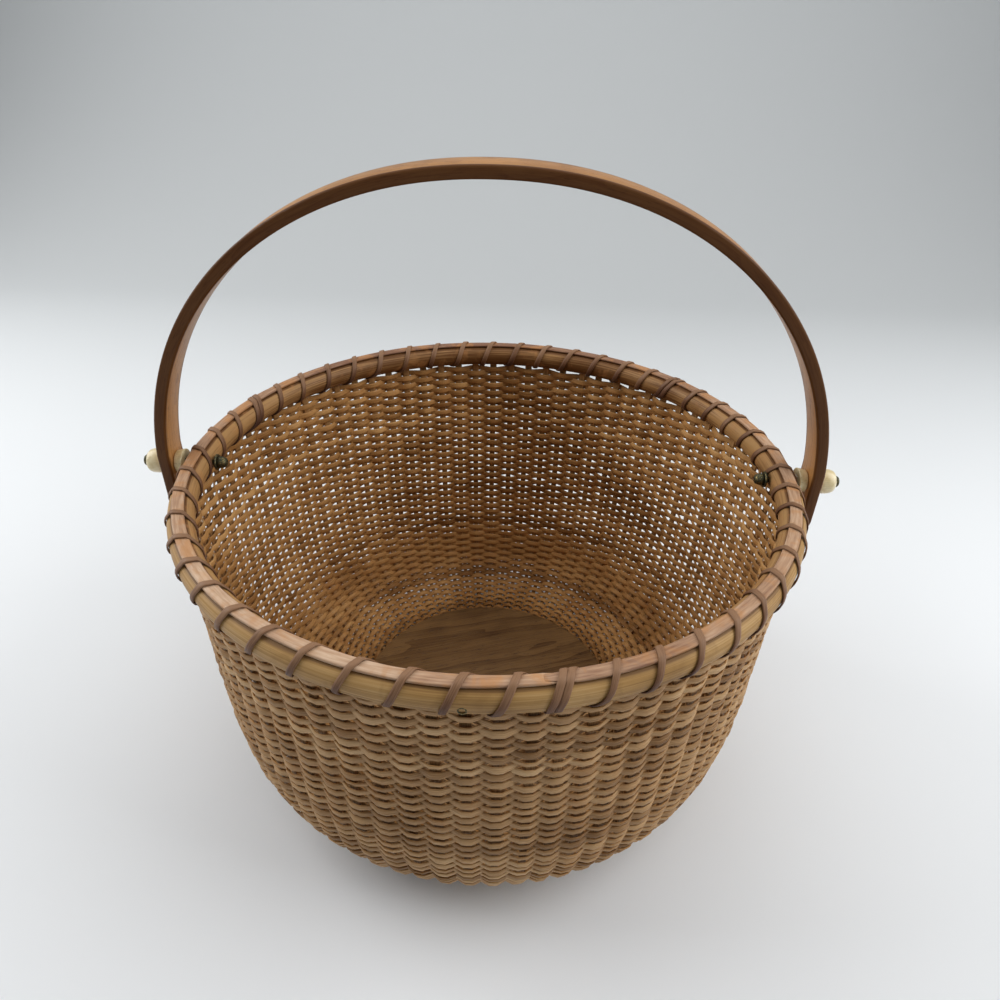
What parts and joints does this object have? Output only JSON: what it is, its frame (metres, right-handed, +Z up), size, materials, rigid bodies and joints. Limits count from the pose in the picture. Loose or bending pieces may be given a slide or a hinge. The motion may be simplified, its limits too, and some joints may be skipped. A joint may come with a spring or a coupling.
{
  "type": "round lidless swing-handle basket",
  "caption": "Round open basket woven of flat cane on upright staves over a turned wooden base, with a lashed hoop rim and a bent wooden swing handle on bone ears.",
  "frame": {"origin": "middle of the underside of the base plate, at the middle of the whole part's box seen from above", "axes": "+X along the handle's pivot line, towards the right ear; +Y across it, away from the viewer; +Z up"},
  "size_m": [0.3496, 0.3063, 0.3176],
  "materials": {
    "dark_plate_wood": "oiled dark wood with a straight grain",
    "stave_wood": "thin split staves, matt",
    "weaver_cane": "flat weaving cane, matt to satin",
    "outer_hoop_cane": "straw yellow half-round hoop, satin",
    "inner_hoop_cane": "tan half-round hoop, satin",
    "cap_cane": "pinkish brown cap strip with glossy rind",
    "lashing_cane": "brown binding cane, satin",
    "handle_wood": "varnished brown bent wood",
    "bone": "polished bone",
    "dark_brass": "old brass gone nearly black"
  },
  "bodies": {
    "basket": {"base_plate": "dark_plate_wood", "collar_left": "bone", "collar_right": "bone", "inner_rim_hoop": "inner_hoop_cane", "knob_left": "bone", "knob_right": "bone", "outer_rim_hoop": "outer_hoop_cane", "rim_cap": "cap_cane", "rim_lashing_01": "lashing_cane", "rim_lashing_02": "lashing_cane", "rim_lashing_03": "lashing_cane", "rivet_left": "dark_brass", "rivet_right": "dark_brass", "rivet_washer_left": "dark_brass", "rivet_washer_right": "dark_brass", "stave_splint_01": "stave_wood", "stave_splint_02": "stave_wood", "stave_splint_03": "stave_wood", "stave_splint_04": "stave_wood", "stave_splint_05": "stave_wood", "stave_splint_06": "stave_wood", "stave_splint_07": "stave_wood", "stave_splint_08": "stave_wood", "stave_splint_09": "stave_wood", "stave_splint_10": "stave_wood", "stave_splint_11": "stave_wood", "stave_splint_12": "stave_wood", "stave_splint_13": "stave_wood", "stave_splint_14": "stave_wood", "stave_splint_15": "stave_wood", "stave_splint_16": "stave_wood", "stave_splint_17": "stave_wood", "stave_splint_18": "stave_wood", "stave_splint_19": "stave_wood", "stave_splint_20": "stave_wood", "stave_splint_21": "stave_wood", "stave_splint_22": "stave_wood", "stave_splint_23": "stave_wood", "stave_splint_24": "stave_wood", "stave_splint_25": "stave_wood", "stave_splint_26": "stave_wood", "weaver_01": "weaver_cane", "weaver_02": "weaver_cane", "weaver_03": "weaver_cane", "weaver_04": "weaver_cane", "weaver_05": "weaver_cane", "weaver_06": "weaver_cane", "weaver_07": "weaver_cane", "weaver_08": "weaver_cane", "weaver_09": "weaver_cane", "weaver_10": "weaver_cane"},
    "handle": {"handle": "handle_wood"}
  },
  "joints": [
    {"name": "handle_swing", "type": "hinge", "parent": "basket", "child": "handle", "pos_m": [0, 0, 0.173], "axis": [1, 0, 0], "range_deg": [-77, 77]}
  ]
}
